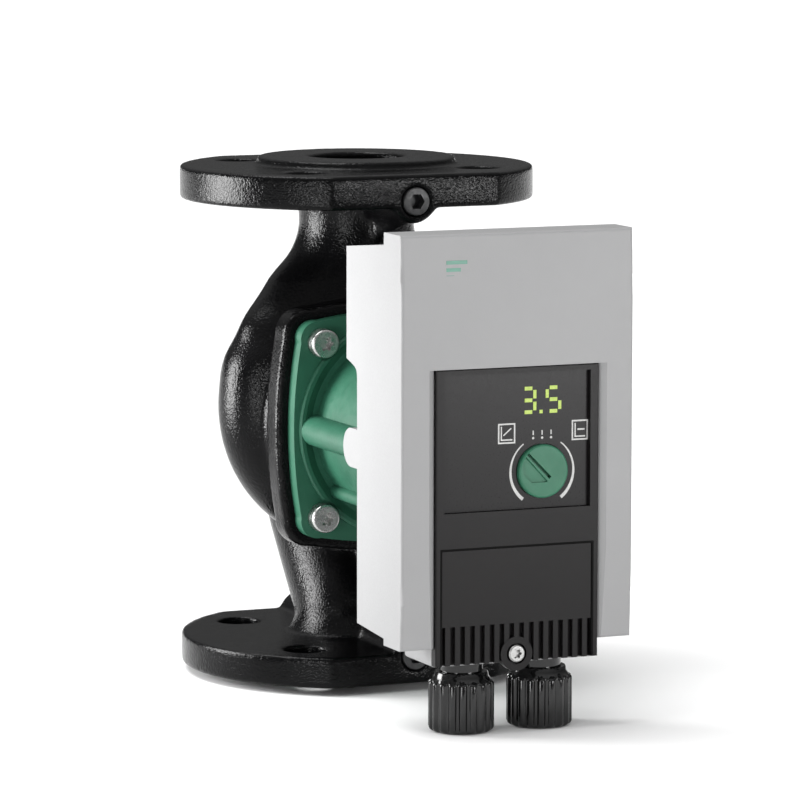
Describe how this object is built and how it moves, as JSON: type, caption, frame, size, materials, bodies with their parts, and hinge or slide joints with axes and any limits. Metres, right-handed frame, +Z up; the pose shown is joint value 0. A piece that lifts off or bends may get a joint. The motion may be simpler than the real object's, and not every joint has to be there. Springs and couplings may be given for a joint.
{
  "type": "circulator pump",
  "caption": "Flanged in-line wet-rotor circulator: cast pump housing, round motor behind a square mounting plate, upright electronics module with display, knob and cable glands.",
  "frame": {"origin": "centre of the lower (suction) flange's sealing face", "axes": "+Z up along the pipe axis to the discharge flange, -Y towards the electronics module, +X to the right seen from the module's front"},
  "size_m": [0.15, 0.2339, 0.22],
  "materials": {
    "cast_black": "glossy orange-peel coating on cast iron",
    "plug_steel": "black oxide",
    "gasket": "matt",
    "stainless": "satin",
    "stainless_bright": "ground",
    "impeller_plastic": "moulded",
    "lamination": "stamped",
    "magnet": "coated",
    "ceramic_carbon": "lapped",
    "copper": "enamelled wire",
    "green_paint": "semi-gloss paint on cast aluminium",
    "bolt_steel": "zinc plated",
    "grey_plastic": "fine texture",
    "grey_plastic_box": "fine texture",
    "grey_base": "fine texture",
    "mark_green": "satin",
    "alu": "extruded",
    "pcb": "solder mask",
    "cap_sleeve": "shrink sleeve",
    "connector_white": "moulded",
    "brass_screw": "plated",
    "gland_black": "glossy polyamide",
    "panel_dark": "satin",
    "window_dark": "smoked, satin",
    "display_base": "moulded",
    "digit_glow": "lit segment",
    "marking_white": "printed",
    "knob_green": "moulded",
    "cover_dark": "satin",
    "screw_bright": "zinc plated"
  },
  "bodies": {
    "pump": {"lower_flange": "cast_black", "volute_casing": "cast_black", "suction_bend": "cast_black", "discharge_neck": "cast_black", "upper_flange": "cast_black", "gauge_port_plugs": "plug_steel", "housing_gasket": "gasket", "wear_ring": "stainless", "end_shield": "stainless", "front_bearing": "ceramic_carbon", "rear_bearing": "ceramic_carbon", "rotor_can": "stainless", "stator_core": "lamination", "stator_windings": "copper", "motor_shell": "green_paint", "motor_bolts": "bolt_steel", "module_housing": "grey_plastic", "badge": "mark_green", "module_base": "grey_base", "module_screws": "bolt_steel", "heat_sink": "alu", "circuit_board": "pcb", "capacitors": "cap_sleeve", "motor_connector": "connector_white", "terminal_box": "grey_plastic_box", "terminal_block": "connector_white", "terminal_screws": "brass_screw", "earth_screw": "brass_screw", "gland_bodies": "gland_black", "gland_seals": "gasket", "gland_locknuts": "gland_black", "control_panel": "panel_dark", "display_window": "window_dark", "display_module": "display_base", "display_digits": "digit_glow", "panel_markings": "marking_white", "rotary_switch": "display_base"},
    "rotor": {"impeller": "impeller_plastic", "shaft": "stainless_bright", "impeller_nut": "stainless_bright", "rotor_core": "lamination", "rotor_magnets": "magnet", "thrust_disc": "ceramic_carbon"},
    "knob": {"setting_knob": "knob_green"},
    "terminal_lid": {"terminal_cover": "cover_dark"},
    "lid_screw": {"cover_screw": "screw_bright"},
    "gland_left": {"gland_nut_left": "gland_black"},
    "gland_right": {"gland_nut_right": "gland_black"}
  },
  "joints": [
    {"name": "rotor_spin", "type": "hinge", "parent": "pump", "child": "rotor", "pos_m": [0, 0, 0.11], "axis": [0, 1, 0], "continuous": true},
    {"name": "knob_turn", "type": "hinge", "parent": "pump", "child": "knob", "pos_m": [0.01145, -0.16, 0.1051], "axis": [0, 1, 0], "range_deg": [-98, 188]},
    {"name": "cover_lift", "type": "slide", "parent": "pump", "child": "terminal_lid", "axis": [0, -1, 0], "range_m": [0, 0.05]},
    {"name": "cover_screw_turn", "type": "hinge", "parent": "terminal_lid", "child": "lid_screw", "pos_m": [0, -0.166, 0.0324], "axis": [0, -1, 0], "range_deg": [0, 1440]},
    {"name": "gland_left_turn", "type": "hinge", "parent": "pump", "child": "gland_left", "pos_m": [-0.01715, -0.151, 0.012], "axis": [0, 0, 1], "range_deg": [0, 1080]},
    {"name": "gland_right_turn", "type": "hinge", "parent": "pump", "child": "gland_right", "pos_m": [0.01715, -0.151, 0.012], "axis": [0, 0, 1], "range_deg": [0, 1080]}
  ]
}
